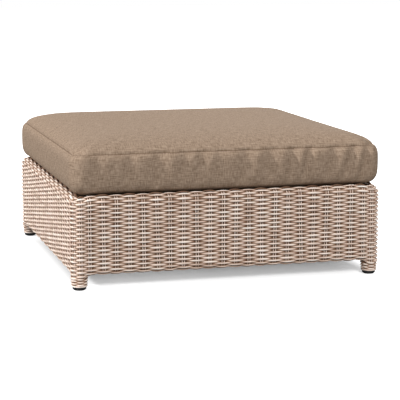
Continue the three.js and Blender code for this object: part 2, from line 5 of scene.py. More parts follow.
import bpy
import numpy as np
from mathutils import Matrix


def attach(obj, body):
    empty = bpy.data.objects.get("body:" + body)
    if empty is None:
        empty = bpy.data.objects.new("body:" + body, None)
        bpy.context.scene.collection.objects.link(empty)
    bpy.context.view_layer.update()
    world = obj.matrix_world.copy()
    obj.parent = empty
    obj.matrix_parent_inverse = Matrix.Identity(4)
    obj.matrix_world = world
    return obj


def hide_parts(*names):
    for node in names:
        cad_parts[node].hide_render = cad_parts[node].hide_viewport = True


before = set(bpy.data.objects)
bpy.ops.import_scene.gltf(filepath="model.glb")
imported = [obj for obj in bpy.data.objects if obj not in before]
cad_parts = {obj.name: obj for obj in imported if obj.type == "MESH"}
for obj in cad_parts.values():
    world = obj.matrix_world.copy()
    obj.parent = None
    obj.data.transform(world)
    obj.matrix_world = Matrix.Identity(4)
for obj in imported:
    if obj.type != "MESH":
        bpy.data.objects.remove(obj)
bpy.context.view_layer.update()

# Plan and section of the wicker, in metres, as in the solids
HALF = 0.450  # outside of the wicker from the middle
CORNER = 0.026  # plan radius of its corners
INNER_CORNER = 0.004  # least plan radius, past the crest
LEG = HALF - CORNER  # leg axes from the middle
APRON = 0.040  # lower edge of the wicker above the floor
LIP_RADIUS = 0.019  # of the arc that turns under the bottom rail
LIP_HEIGHT = 0.059  # of that arc's axis
LIP_TURN = math.radians(50)  # how far the arc turns up again behind the rail
BORDER_RADIUS = 0.021  # of the arc over the top rail
BORDER_HEIGHT = 0.242  # of that arc's axis
BORDER_END = math.radians(156)  # how far the border turns over
LIP = LIP_RADIUS * (math.pi / 2 + LIP_TURN)  # length of the lip's arc
FACE = BORDER_HEIGHT - LIP_HEIGHT  # of the plain face
SECTION = LIP + FACE + BORDER_RADIUS * BORDER_END  # and of the whole section

# Stakes
STAKE = 0.0029  # thickness of a stake
STAKE_SIDES = 6
STAKE_DEPTH = 0.0066  # axis of the stakes, from the outside
STAKE_SPREAD = 0.0032  # of a pair, from its middle
STAKE_TAPER = 0.0026  # how much deeper the stakes of a foot lie at its lower end
STAKE_STATIONS = (12, 14, 16)  # points along the lip, the face and the border
STAKE_START = 0.002  # from the section's lower end
STAKE_STOP = 0.001  # before its upper end
PITCH = 0.03785  # from one pair of stakes to the next
PAIRS = 11  # pairs from the middle of a side to its straight end
FRONT_END_PAIR = 0.4225  # place of the last pair of front and back, over the leg
SIDE_END_TURN = math.radians(34)  # the end pair of the left and right sides stands on the corner
PAIR_DRIFT = 0.0009  # unevenness of the pairs' places
PAIR_LEAN = 0.0011  # unevenness of their lean, over LEAN_HEIGHT
LEAN_HEIGHT = 0.1
LEAN_MIDDLE = 0.15  # height at which a leaning pair stands in its place
END_DRIFT = 0.2  # share of both for the three pairs at each end

# Strands
STRAND = 0.0053  # thickness of a strand, square to the wall
STRAND_RISE = 0.0064  # its height up the wall, on the way from front to back
STRAND_SIDES = 8
STRAND_SPREAD = 0.70  # how much taller it is pressed behind the stakes, as a share
SPREAD_START = 0.25  # how far in front of the stakes that begins, as a share of the swing
FRONT_SPREAD = -0.04  # in front of the stakes a strand is a little lower
FRONT_START = 0.5  # how far in front that begins, as a share of the swing
STEPS = 8  # along a strand from one pair to the next
SWING = 0.0040  # of a strand's axis, in front of and behind the stakes
SWING_SHAKE = 0.05  # unevenness of the swing from row to row, as a share
FRONT_STAY = 0.64  # power of the wave: below 1, a strand stays in front longer than behind
FRAME_DEPTH = 0.0084  # the deepest that a strand's axis can lie over a tube
MEET = 0.0003  # how far the strands of two sides run into each other at a corner

# Rows
ROW = 0.00603  # from one row to the next on the face
ARC_ROW = 0.0068  # on the lip, where rows are more open
BORDER_ROW = 0.0080  # on the border, where they are more open still
ROW_START = 0.0023  # of the first row of the face, below the top of the lip's arc
ROW_CONTRAST = 0.09  # every other row is this much fuller
ROW_WANDER = 0.00016  # unevenness of a row's height
WANDER_KNOTS = 9  # places along a row between which it wanders
LIP_ROWS = 4  # rows of the lip that go round the leg, the others ending before it

# Where things change, before a leg's axis
OVER_LEG = 0.012  # strands begin to lie over the leg's tube
STEADY_FROM, STEADY_LENGTH = 0.06, 0.05  # rows stop wandering, so that they meet the next side's
ROUND_FROM, ROUND_LENGTH = 0.030, 0.026  # the lip's rows leave its arc and go round the leg
LOW_STOP = 0.020  # rows behind the bottom rail end
LEG_ROWS = 0.84  # row pitch round the leg, as a share of the pitch on the arc

# Corners: the crest falls away towards them, and the border's strands are taller across them
CORNER_FALL = 0.005
FALL_BEFORE, FALL_PAST = 0.045, 0.012  # from where to where, round a leg's axis
FALL_BELOW, FALL_LENGTH = 0.05, 0.06  # how far below the border's axis it begins, and its length
CORNER_SPREAD = 0.55  # how much taller, as a share
SPREAD_BEFORE, SPREAD_LENGTH = 0.004, 0.010  # before a leg's axis
CREST_SHARE, CREST_LENGTH = 0.5, 0.012  # inwards, from this share of the corner's radius

# Wash and shade: how deep a point lies, which sets its colour, cream on the outside and brown deep down.
# It is partly the paint of the wash and partly painted shade in the recesses, with a painted highlight on
# the crests
WASH_SHADE_FADE = 0.0038  # what a strand gains from the front of its swing to the back, painted shade behind the stakes
WASH_SHADE_DARK = 0.0050  # and once more over the rear half
CUSHION_SHADE = 0.0042  # painted shade: the border is darker where it turns in under the cushion, in its shadow
CUSHION_SHADE_FROM, CUSHION_SHADE_TURN = 1.35, 0.45  # the turn at which that begins, and its length, in radians
STAKE_WASH = 0.0009  # the stakes are a little less white than the strands in front
WASH_SHADE_LOW, WASH_SHADE_HIGH = 0.0002, 0.0110  # depths of the first and the last colour

# Chance and streaks: seeds, each plus the number of its side, and marks that tell tubes apart
PAIR_SEED, WANDER_SEED, SWING_SEED = 40, 60, 90
ROW_MARK, FIRST_ROW_MARK = 3.7, 0.37
STAKE_MARK, FIRST_STAKE_MARK, SIDE_MARK = 1.3, 100, 40
FOOT_MARK, RING_MARK = 200, 220

# Feet
FOOT_TOP = 0.0365  # axis of the wound strand at its start
FOOT_BOTTOM = 0.0120  # and at its end
FOOT_TURNS = 6
FOOT_STAKES = 7
FOOT_STEPS = 6  # along the strand from one stake to the next
FOOT_RISE = 0.0025  # half the strand's height
FOOT_END_RADIUS = 0.0225  # outside, above the glide
GLIDE_TOP = 0.0093
LEG_RADIUS = 0.015
RING_POINTS = 49
RING_INSET = 0.0021  # axis of the end ring, from the outside
RING_ACROSS, RING_RISE = 0.0023, 0.0022  # half its thickness and half its height

# Cushion
SEAT = 0.2633  # height of the boxing's lower edge
SEAM = 0.3708  # of the top seam
CROWN = 0.4140  # of the top's middle, before it is filled out
BELLY = 0.25315  # of the underside's middle
CUSHION_X = 0.4525  # half its width where it is widest
CUSHION_Y = 0.4475
CUSHION_SHIFT = (0.0012, -0.0025)  # of its middle
CUSHION_CORNER = 0.040  # plan radius of its corners
CORNER_DRAW = 0.4  # what the corner radius loses, as a share of what the sides are drawn in
UNDER_EDGE = 0.030  # how far the boxing's lower edge is drawn in
WADDING_INWARD = 0.020  # from the cover
FOAM_INWARD = 0.028

# The boxing's profile from the lower edge up: share of its height, share of UNDER_EDGE drawn in
PROFILE = (
    (0, 1), (0.03, 0.58), (0.08, 0.30), (0.2, 0.07), (0.34, 0.01),
    (0.5, 0), (0.66, 0), (0.8, 0.015), (0.91, 0.10), (1, 0.35),
)
# Heights of the rings of points on the boxing, as shares
BOXING_STEPS = (
    0, 0.03, 0.075, 0.13, 0.2, 0.28, 0.36, 0.385, 0.44, 0.5, 0.56,
    0.615, 0.64, 0.7, 0.76, 0.82, 0.875, 0.92, 0.955, 0.98, 1,
)
PLAIN_STEPS, PLAIN_REACH = 58, 0.93  # a panel's even steps, and how far out they go
SEAM_STEPS = (0.945, 0.958, 0.969, 0.978, 0.985, 0.991, 0.9955, 1)  # and those beside the seam
ROUND_POWER, SQUARE_POWER = 2.3, 22  # of the crown's plan at the middle, and added at the seam
CROWN_POWER = 4.1  # of its section
BELLY_CLOTH = 3  # place of the underside in the cloth, so that no two panels share their threads
BOXING_CLOTH = (0, 5)

# Cloth
CLOTH_REACH = 0.004  # no point moves further
CLOTH_PRESSURE = 4
CLOTH_QUALITY = 6
CLOTH_STEPS = 20

# Sewing
SEAM_GROOVE = 0.0010  # how far the seam is drawn in
SEAM_DIP = 0.6  # and down, as a share of that
EDGE_FROM, EDGE_LENGTH = 0.36, 0.06  # from the middle, where front and corners begin
BACK_FROM = 0.4  # and the back
DECK_SINK = 0.003  # how far the lower edge sinks where the border falls away to the corners
SINK_HEIGHT = 0.03  # above the lower edge, where that ends

# Folds on the front: place, half width, depth and lean
FOLDS = np.array([
    [-0.376, 0.016, 0.0045, 0.10], [-0.287, 0.013, 0.0040, 0.16], [-0.205, 0.020, 0.0066, 0.12],
    [-0.132, 0.016, 0.0054, 0.16], [-0.087, 0.017, 0.0060, 0.20], [-0.035, 0.012, 0.0028, 0.16],
    [0.043, 0.018, 0.0060, 0.14], [0.116, 0.018, 0.0062, 0.12], [0.182, 0.014, 0.0066, 0.10],
    [0.226, 0.011, 0.0078, 0.26], [0.300, 0.017, 0.0062, 0.30], [0.353, 0.015, 0.0080, 0.34],
    [0.399, 0.012, 0.0080, 0.24],
])
FOLD_LEVEL = 0.325  # height at which a leaning fold is in its place
FOLD_SWELL, FOLD_APART = 0.35, 1.9  # of the swellings beside it: share of its depth, half widths off
FOLD_IN = (0.04, 0.28)  # shares of the boxing's height: where a fold begins, and how soon it is full
FOLD_OUT = (0.90, 0.20)  # where it begins to go out, and how soon it is gone
FOLD_REACH = 0.445  # no fold goes round the corner

# Deck
STRAP_TOP = 0.2518
STRAP_MIDDLES = (-0.2953, -0.0984, 0.0984, 0.2953)
RIVET_LINE = 0.4012  # rivets from the middle of the deck, over the seat rail
RIVET_ASIDE = 0.021  # and from the middle of their strap
RIVET_RADIUS = 0.0048
RIVET_SIDES = 14
# A rivet's head from its edge to its middle: share of the radius, height over the strap
RIVET_HEAD = (
    (1.0, -0.0003), (1.0, 0.0003), (0.92, 0.0005), (0.72, 0.0006),
    (0.66, 0.0008), (0.5, 0.0011), (0.3, 0.0013), (0.02, 0.0014),
)

# Zip
ZIP_HALF_LENGTH = 0.300
ZIP_HALF_HEIGHT = 0.013
ZIP_HEIGHT = 0.317  # of its middle
ZIP_FACE = 0.4432  # the cover behind the tape
ZIP_BESIDE, ZIP_OVER = 0.008, 0.004  # margins in which the cover comes out again round the tape
COIL_REACH = 0.2900  # half the coil's length
COIL_PITCH = 0.0015
COIL_FACE = 0.4461  # its crest
COIL_OUT, COIL_IN = 0.0020, 0.0014  # ends of a tooth's arch, from the middle of the chain
COIL_POINTS = 6
COIL_ARCH = 0.0004  # how far the arch falls away at its outer end
COIL_ACROSS, COIL_RISE = 0.0003, 0.0005  # half sizes of the monofilament
COIL_SIDES = 6

# Grain of the finishes, in metres: the length and width of one streak, thread or speck
STREAK = (1 / 14, 1 / 420)  # of the wash on a strand: 71 mm long and 2.4 mm wide
TONE = (1 / 15, math.inf)  # from light to dark along a strand, the same all the way round it
GROOVE = (1 / 30, 1 / 1500)  # 33 mm long and 0.7 mm wide
WEFT_SLUB = (1 / 46, 1 / 340)  # of the cover's threads across: 22 mm long and 2.9 mm apart
WARP_SLUB = (1 / 380, 1 / 60)  # and along: 2.6 mm apart and 17 mm long
BAND = math.pi / 10  # width of one band of a wave texture whose scale is 1
YARN = 0.002513  # of the webbing, from one to the next, both ways
YARN_FIBRE = 1 / 900
TAPE_RIB = 0.0009973  # of the zip's tape, from one to the next
TAPE_YARN = 0.000748  # and across the ribs

# Camera, solved from the photograph: millimetres, metres and degrees
LENS, SENSOR = 137.6, 36
CAMERA_PLACE = (-1.1898, -4.4699, 0.9205)
CAMERA_DOWN = 9.282
CAMERA_TURN = -15.33

# Stage
FLOOR = 20  # half the floor's side
GLOW_LEAST = 0.10  # under the object, where the low glow paints its shadow
GLOW_AHEAD = 0.51  # from the middle, where the floor is white in front and behind
GLOW_POWER = 2.1
GLOW_SIDE = (0.38, 0.48)  # from where to where it turns white beside the object
GLOW_RIGHT = 0.80  # share of the glow in front of the right end, against the left end, for painted shade there
GLOW_BLEND = 0.1  # how softly the two meet
SKY_LIGHT = 0.26  # what the surround lights the object with


# Meshes

def quad_mesh(name, points, quads, tags=None, wash_and_shade=None, uv=None):
    """A smooth mesh of four-sided faces.

    tags is a vector and wash_and_shade a number for each point, the depth that sets the wicker's
    wash and its painted shade, uv a pair for each face corner.
    """
    mesh = bpy.data.meshes.new(name)
    mesh.vertices.add(len(points))
    mesh.vertices.foreach_set("co", np.asarray(points, np.float32).ravel())
    mesh.loops.add(quads.size)
    mesh.loops.foreach_set("vertex_index", np.asarray(quads, np.int32).ravel())
    mesh.polygons.add(len(quads))
    mesh.polygons.foreach_set("loop_start", np.arange(len(quads), dtype=np.int32) * 4)
    mesh.polygons.foreach_set("use_smooth", np.ones(len(quads), bool))
    if tags is not None:
        layer = mesh.attributes.new("strand", "FLOAT_VECTOR", "POINT")
        layer.data.foreach_set("vector", np.asarray(tags, np.float32).ravel())
        # The wicker's depth for its wash and its painted shade.
        layer = mesh.attributes.new("wash_and_shade", "FLOAT", "POINT")
        layer.data.foreach_set("value", np.asarray(wash_and_shade, np.float32).ravel())
    if uv is not None:
        mesh.uv_layers.new(name="cloth").data.foreach_set("uv", np.asarray(uv, np.float32).ravel())
    mesh.update(calc_edges=True)
    made = bpy.data.objects.new(name, mesh)
    bpy.context.scene.collection.objects.link(made)
    return made


def unit(vectors):
    """Vectors made one long."""
    return vectors / np.linalg.norm(vectors, axis=-1, keepdims=True)


def smooth(values):
    """0 below 0, 1 above 1 and an S curve between."""
    values = np.clip(values, 0, 1)
    return values * values * (3 - 2 * values)


def walls(rings):
    """Faces between closed rings that follow one another, given by the numbers of their points."""
    after = np.roll(rings, -1, axis=-1)
    low, high = np.s_[..., :-1, :], np.s_[..., 1:, :]
    return np.stack([rings[low], after[low], after[high], rings[high]], axis=-1).reshape(-1, 4)


def tubes(axes, normals, depths, across, up, sides, marks):
    """Points, faces, tags and wash_and_shade of a bundle of tubes.

    axes holds for each tube the points of its axis. Each point gets a ring: the axis plus across
    times the cosine along the normal, made square to the axis, plus up times the sine along the
    third direction. marks is a number for each tube, which its tag keeps beside the length along
    the tube and the way round it, so that no two tubes share their streaks. wash_and_shade is the
    depth given for the axis, less across times the cosine, so a tube's flanks and back are painted
    browner than its outer crest: painted shade and a painted highlight on top of the finish's wash.
    Both ends are closed.
    """
    count, stations = axes.shape[:2]
    along = unit(np.gradient(axes, axis=1))
    out = unit(normals - np.sum(normals * along, axis=2, keepdims=True) * along)
    third = np.cross(along, out)
    turn = np.arange(sides) * 2 * math.pi / sides
    cos, sin = np.cos(turn)[:, None], np.sin(turn)[:, None]
    up = np.broadcast_to(up, (count, stations))[:, :, None, None]
    across = np.broadcast_to(across, (count, stations))[:, :, None]
    ring = across[..., None] * cos * out[:, :, None] + up * sin * third[:, :, None]
    points = axes[:, :, None] + ring
    length = np.cumsum(np.linalg.norm(np.diff(axes, axis=1, prepend=axes[:, :1]), axis=2), axis=1)
    tags = np.zeros(points.shape)
    tags[..., 0] = length[:, :, None]
    tags[..., 1] = np.abs((turn / math.pi + 0.5) % 2 - 1) * math.pi * across
    tags[..., 2] = np.asarray(marks)[:, None, None]
    # Painted shade and highlight: a tube's flanks and back count deeper than its outer crest, so they are
    # painted browner.
    wash_and_shade = np.broadcast_to(depths, (count, stations))[:, :, None] - across * np.cos(turn)
    index = np.arange(count * stations * sides).reshape(count, stations, sides)
    faces = [walls(index)]
    for end, flip in ((index[:, 0], True), (index[:, -1], False)):
        for step in range(sides // 2 - 1):
            cap = end[:, [step, step + 1, sides - 2 - step, sides - 1 - step]]
            faces.append(cap[:, ::-1] if flip else cap)
    return points.reshape(-1, 3), np.concatenate(faces), tags.reshape(-1, 3), wash_and_shade.ravel()


def bundle(name, parts):
    """One object of several bundles of tubes."""
    starts = np.cumsum([0] + [len(part[0]) for part in parts])
    quads = np.concatenate([part[1] + start for part, start in zip(parts, starts)])
    points, tags, wash_and_shade = (np.concatenate([part[place] for part in parts]) for place in (0, 2, 3))
    return quad_mesh(name, points, quads, tags, wash_and_shade)


def dress(piece, material, body):
    """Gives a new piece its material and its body."""
    piece.data.materials.clear()
    piece.data.materials.append(material)
    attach(piece, body)


# Wicker

def section(length, depth):
    """Inset and height of a point of the wicker's section, and how far its outward normal tips up.

    length runs along the outer surface: up the lip's arc, up the plain face, over the border's arc.
    depth is measured inwards, square to the surface.
    """
    low = length < LIP
    high = length > LIP + FACE
    over = np.where(high, (length - LIP - FACE) / BORDER_RADIUS, 0)
    tip = np.where(low, (length - LIP) / LIP_RADIUS, over)
    radius = np.where(low, LIP_RADIUS, BORDER_RADIUS)
    middle = np.clip(length - LIP, 0, FACE) + LIP_HEIGHT
    inset = radius - (radius - depth) * np.cos(tip)
    height = middle + (radius - depth) * np.sin(tip)
    return inset, height, tip


def placed(side, station, inset, height, tip):
    """World points and outward normals on one side of the base.

    station runs along the side, and past its straight part it turns round the corner. The plan is
    a rounded square that shrinks by the inset, its corner radius too.
    """
    straight = np.clip(station, -LEG, LEG)
    turn = (station - straight) / (CORNER - STAKE_DEPTH)
    half = np.minimum(LEG, HALF - INNER_CORNER - inset)
    radius = np.maximum(CORNER - inset, INNER_CORNER)
    x = straight * half / LEG + radius * np.sin(turn)
    y = -half - radius * np.cos(turn)
    nx, ny = np.sin(turn) * np.cos(tip), -np.cos(turn) * np.cos(tip)
    c, s = [(1, 0), (0, 1), (-1, 0), (0, -1)][side]
    points = np.stack(np.broadcast_arrays(c * x - s * y, s * x + c * y, height), axis=-1)
    normals = np.stack(np.broadcast_arrays(c * nx - s * ny, s * nx + c * ny, np.sin(tip)), axis=-1)
    return points, normals


def pair_places(side, heights):
    """Stations of the stake pairs on a side at each height, hand woven and so a little off.

    Pairs stand a pitch apart. The last ones of front and back stand over the legs, and those of
    left and right on the corner. One more at each end belongs to the next side.
    """
    inner = (np.arange(PAIRS) + 0.5) * PITCH
    on_corner = LEG + SIDE_END_TURN * (CORNER - STAKE_DEPTH)
    past_front = LEG + (math.pi / 2 - SIDE_END_TURN) * (CORNER - STAKE_DEPTH)
    past_side = LEG + math.pi / 2 * (CORNER - STAKE_DEPTH) + LEG - FRONT_END_PAIR
    ends = [FRONT_END_PAIR, past_front] if side % 2 == 0 else [on_corner, past_side]
    half = np.concatenate([inner, ends])
    places = np.concatenate([-half[::-1], half])
    shake = np.random.default_rng(PAIR_SEED + side).normal(size=(2, places.size))
    drift = shake * [[PAIR_DRIFT], [PAIR_LEAN]]
    drift[:, [0, 1, 2, -3, -2, -1]] *= END_DRIFT
    up = (np.asarray(heights)[:, None] - LEAN_MIDDLE) / LEAN_HEIGHT
    return places + drift[0] + drift[1] * up


def row_lengths():
    """Places of the rows along the section: those of the lip, of the face and of the border."""
    first = LIP - ROW_START
    face = first + ROW * np.arange(int((FACE + ROW_START) / ROW) + 1)
    lip = first - ARC_ROW * np.arange(1, int(first / ARC_ROW) + 1)
    border = face[-1] + BORDER_ROW * np.arange(1, int((SECTION - face[-1]) / BORDER_ROW) + 1)
    return lip[::-1], face, border


def corner_fall(station, height):
    """How far the wicker falls away towards the corners, in full at the crest."""
    near = smooth((np.abs(station) - LEG + FALL_BEFORE) / (FALL_BEFORE + FALL_PAST))
    return CORNER_FALL * near * smooth((height - BORDER_HEIGHT + FALL_BELOW) / FALL_LENGTH)


def deepest_axis(lengths, height, tip, station):
    """The deepest that the axis of a strand can lie without running into a tube of the frame.

    Over a rail's arc and over a leg that is FRAME_DEPTH. On the face beside a rail it follows a
    circle round the rail's axis, and away from it the strand is free to swing.
    """
    upper = lengths > LIP + FACE / 2
    radius = np.where(upper, BORDER_RADIUS, LIP_RADIUS)
    level = np.where(upper, BORDER_HEIGHT, LIP_HEIGHT)
    clear = radius - FRAME_DEPTH
    on_face = radius - np.sqrt(np.maximum(clear**2 - (height - level) ** 2, 0))
    deepest = np.where(np.abs(tip) > 0, FRAME_DEPTH, np.minimum(on_face, STAKE_DEPTH + SWING))
    at_leg = smooth((np.abs(station) - LEG + OVER_LEG) / OVER_LEG)
    return deepest[:, None] + (FRAME_DEPTH - deepest[:, None]) * at_leg


def weft(side, lengths, numbers, low_edge=False):
    """Strands on one side: each swings in front of one stake pair and behind the next.

    The depth of a strand's axis is the stakes' depth less a cosine of the count of pairs passed,
    and rows take turns. The power FRONT_STAY keeps it in front for longer than it is behind. Every
    other row swings more and is fuller. A strand is taller behind the stakes than on the way, and
    a little lower in front. Over a frame tube it lies no deeper than the tube lets it. Rows on the
    lip straighten out towards the corners, where they go round the leg, and with low_edge they
    end before it. The wash and shade value grows along the strand from the front of its swing to
    the back, partly the finish's wash and partly painted shade behind the stakes, and painted shade
    darkens the border where it turns in under the cushion.
    """
    inset, height, tip = section(lengths, STAKE_DEPTH)
    pairs = pair_places(side, height)
    count = np.arange(pairs.shape[1]) - 1
    reach = LEG + math.pi / 4 * (CORNER - STAKE_DEPTH) + MEET
    if low_edge:
        reach = LEG - LOW_STOP
    ends = np.array([np.interp([-reach, reach], row, count) for row in pairs])
    share = np.linspace(0, 1, STEPS * pairs.shape[1] + 1)
    passed = ends[:, :1] + (ends[:, 1:] - ends[:, :1]) * share
    station = np.array([np.interp(p, count, row) for p, row in zip(passed, pairs)])
    wave = np.cos(math.pi * (passed - 1 + numbers[:, None]))
    wave = 2 * ((1 + wave) / 2) ** FRONT_STAY - 1
    shake = np.random.default_rng(SWING_SEED + side).normal(size=(len(lengths), 1))
    full = 1 + ROW_CONTRAST * np.where(numbers[:, None] % 2 == 1, 1, -1)
    swing = SWING * (1 + SWING_SHAKE * shake + (full - 1) / 2)
    depth = np.minimum(STAKE_DEPTH - swing * wave, deepest_axis(lengths, height, tip, station))

    wander = np.random.default_rng(WANDER_SEED + side).normal(size=(len(lengths), WANDER_KNOTS))
    wander = wander * ROW_WANDER
    knots = np.linspace(-HALF, HALF, WANDER_KNOTS)
    lift = np.array([np.interp(st, knots, row) for st, row in zip(station, wander)])
    fade = 1 - smooth((np.abs(station) - LEG + STEADY_FROM) / STEADY_LENGTH)
    inset, height, tip = section(lengths[:, None] + lift * fade, depth)
    if not low_edge:
        round_leg = smooth((np.abs(station) - LEG + ROUND_FROM) / ROUND_LENGTH) * (lengths[:, None] < LIP)
        level = LIP_HEIGHT + (lengths[:, None] - LIP) * LEG_ROWS
        inset = inset + (depth - inset) * round_leg
        height = height + (level - height) * round_leg
        tip = tip * (1 - round_leg)
    height = height - corner_fall(station, height)
    points, normals = placed(side, station, inset, height, tip)

    behind = smooth((depth - STAKE_DEPTH + SWING * SPREAD_START) / SWING / (1 + SPREAD_START))
    ahead = smooth((STAKE_DEPTH - depth - SWING * FRONT_START) / SWING / (1 - FRONT_START))
    at_corner = smooth((np.abs(station) - LEG + SPREAD_BEFORE) / SPREAD_LENGTH)
    at_corner = at_corner * smooth((inset - CORNER * CREST_SHARE) / CREST_LENGTH)
    flat = 1 + STRAND_SPREAD * behind + CORNER_SPREAD * at_corner + FRONT_SPREAD * ahead
    # Partly wash, partly painted shade: a strand is painted browner the further it lies behind the
    # stakes.
    gone = (depth - STAKE_DEPTH) / SWING / 2 + 0.5
    wash_and_shade = STRAND / 2 + WASH_SHADE_FADE * gone + WASH_SHADE_DARK * smooth(gone * 2 - 1)
    # Painted shade: the border is painted darker where it turns in under the cushion.
    wash_and_shade = wash_and_shade + CUSHION_SHADE * smooth((np.broadcast_to(tip, wash_and_shade.shape) - CUSHION_SHADE_FROM) / CUSHION_SHADE_TURN)
    rise = STRAND_RISE / 2 * flat * full
    marks = ROW_MARK * numbers + FIRST_ROW_MARK
    return tubes(points, normals, wash_and_shade, STRAND / 2, rise, STRAND_SIDES, marks)


def stakes(side):
    """The pairs of thin upright stakes on one side, from the lip's inner end over the border.

    Those beside a leg don't follow the lip. They run on down the foot, deeper as it tapers.
    """
    on_lip, on_face, on_border = STAKE_STATIONS
    lengths = np.concatenate([
        np.linspace(STAKE_START, LIP, on_lip),
        np.linspace(LIP, LIP + FACE, on_face)[1:],
        np.linspace(LIP + FACE, SECTION - STAKE_STOP, on_border)[1:],
    ])
    inset, height, tip = section(lengths, STAKE_DEPTH)
    pairs = pair_places(side, np.clip(height, LIP_HEIGHT, BORDER_HEIGHT))[:, 1:-1].T
    station = np.concatenate([pairs - STAKE_SPREAD, pairs + STAKE_SPREAD])
    inset, height, tip = (np.broadcast_to(v, station.shape).copy() for v in (inset, height, tip))
    at_leg = np.abs(station[:, -1:]) > LEG - OVER_LEG
    below = at_leg & (lengths < LIP)
    share = np.clip(1 - lengths / LIP, 0, 1)
    level = LIP_HEIGHT - (LIP_HEIGHT - FOOT_BOTTOM) * share
    taper = smooth((APRON - level) / (APRON - GLIDE_TOP)) * STAKE_TAPER
    inset = np.where(below, STAKE_DEPTH + taper, inset)
    height = np.where(below, level, height)
    tip = np.where(below, 0, tip)
    height = height - corner_fall(station, height)
    points, normals = placed(side, station, inset, height, tip)
    marks = FIRST_STAKE_MARK + STAKE_MARK * np.arange(len(station)) + SIDE_MARK * side
    return tubes(points, normals, STAKE / 2 + STAKE_WASH, STAKE / 2, STAKE / 2, STAKE_SIDES, marks)


def foot(sx, sy):
    """The strand wound round a foot, in and out of its stakes, and the ring that ends it.

    The strand is a screw line down the leg. Its radius swings between the outside of the foot,
    which tapers, and the leg tube, once for each two stakes, so each turn takes the other side.
    """
    first = math.degrees(math.pi / 2 - SIDE_END_TURN)
    around = np.concatenate([[0], np.linspace(first, 360, FOOT_STAKES)])
    all_stakes = FOOT_STAKES * FOOT_TURNS
    passed = np.linspace(0, all_stakes, all_stakes * FOOT_STEPS + 1)
    in_turn = np.interp(passed % FOOT_STAKES, np.arange(FOOT_STAKES + 1), around)
    turn = np.radians(in_turn + 360 * np.floor(passed / FOOT_STAKES))
    height = FOOT_TOP + (FOOT_BOTTOM - FOOT_TOP) * passed / passed[-1]
    outside = FOOT_END_RADIUS + (CORNER - FOOT_END_RADIUS) * (height - GLIDE_TOP) / (APRON - GLIDE_TOP)
    front = outside - STRAND / 2
    back = LEG_RADIUS + STRAND / 2
    radius = (front + back) / 2 + (front - back) / 2 * np.cos(math.pi * (passed + 1))

    def wound(turn, radius, height):
        """Axis and normals of a strand round the leg."""
        x, y = sx * np.sin(turn), sy * np.cos(turn)
        axis = np.stack([sx * LEG + radius * x, sy * LEG + radius * y, height], axis=-1)[None]
        normal = np.stack([x, y, np.zeros_like(x)], axis=-1)[None]
        return axis, normal

    # The wound strand is painted browner the deeper it lies towards the leg: partly wash, partly painted
    # shade.
    screw = tubes(
        *wound(turn, radius, height),
        outside - radius, STRAND / 2, FOOT_RISE, STRAND_SIDES, [FOOT_MARK + sx + 3 * sy],
    )
    ring_turn = np.linspace(0, 2 * math.pi, RING_POINTS)
    ring_radius = np.full(RING_POINTS, FOOT_END_RADIUS - RING_INSET)
    ring_height = np.full(RING_POINTS, GLIDE_TOP + RING_RISE)
    ring = tubes(
        *wound(ring_turn, ring_radius, ring_height),
        RING_RISE, RING_ACROSS, RING_RISE, STRAND_SIDES, [RING_MARK + sx],
    )
    return [screw, ring]


def make_wicker(material):
    """The strands and stakes of the four sides and the wound feet, each as a piece of its own."""
    lip, face, border = row_lengths()
    lengths = np.concatenate([lip, face, border])
    numbers = np.arange(len(lengths)) - len(lip)
    under = numbers < -LIP_ROWS
    for side, name in enumerate(("front", "right", "back", "left")):
        strands = bundle(f"wicker_strands_{name}", [
            weft(side, lengths[~under], numbers[~under]),
            weft(side, lengths[under], numbers[under], low_edge=True),
        ])
        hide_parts(f"wicker_panel_{name}", f"wicker_border_{name}")
        rods = bundle(f"wicker_stakes_{name}", [stakes(side)])
        for piece in (strands, rods):
            dress(piece, material, "base")
    for sy, depth in ((-1, "front"), (1, "back")):
        for sx, hand in ((-1, "left"), (1, "right")):
            wound = bundle(f"wicker_foot_{depth}_{hand}", foot(sx, sy))
            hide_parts(f"wicker_corner_{depth}_{hand}")
            dress(wound, material, "base")


# Cushion

def plan_point(a, b, half_x, half_y, corner):
    """A square's point moved onto a rounded rectangle: the further out it is, the more its corner
    is drawn in, so that the square's edge lands on the rounded outline."""
    reach = np.maximum(np.abs(a), np.abs(b))
    safe = np.maximum(reach, 1e-9)
    x, y = np.abs(a) / safe * half_x, np.abs(b) / safe * half_y
    cx, cy = half_x - corner, half_y - corner
    square = np.maximum(x * x + y * y, 1e-12)
    dot = (x * cx + y * cy) / square
    rest = (cx * cx + cy * cy - corner * corner) / square
    scale = dot + np.sqrt(np.maximum(dot * dot - rest, 0))
    scale = np.where((x > cx) & (y > cy), np.minimum(scale, 1), 1)
    pull = 1 + (scale - 1) * reach**3
    return a * half_x * pull, b * half_y * pull


def crown_share(a, b):
    """Height over the seam as a share of the crown: the root of one less a power of the distance
    from the middle, which is measured round at the middle and square at the seam."""
    reach = np.maximum(np.abs(a), np.abs(b))
    power = ROUND_POWER + SQUARE_POWER * reach**2
    far = np.clip((np.abs(a) ** power + np.abs(b) ** power) ** (1 / power), 0, 1)
    return np.sqrt(np.maximum(1 - far**CROWN_POWER, 0))


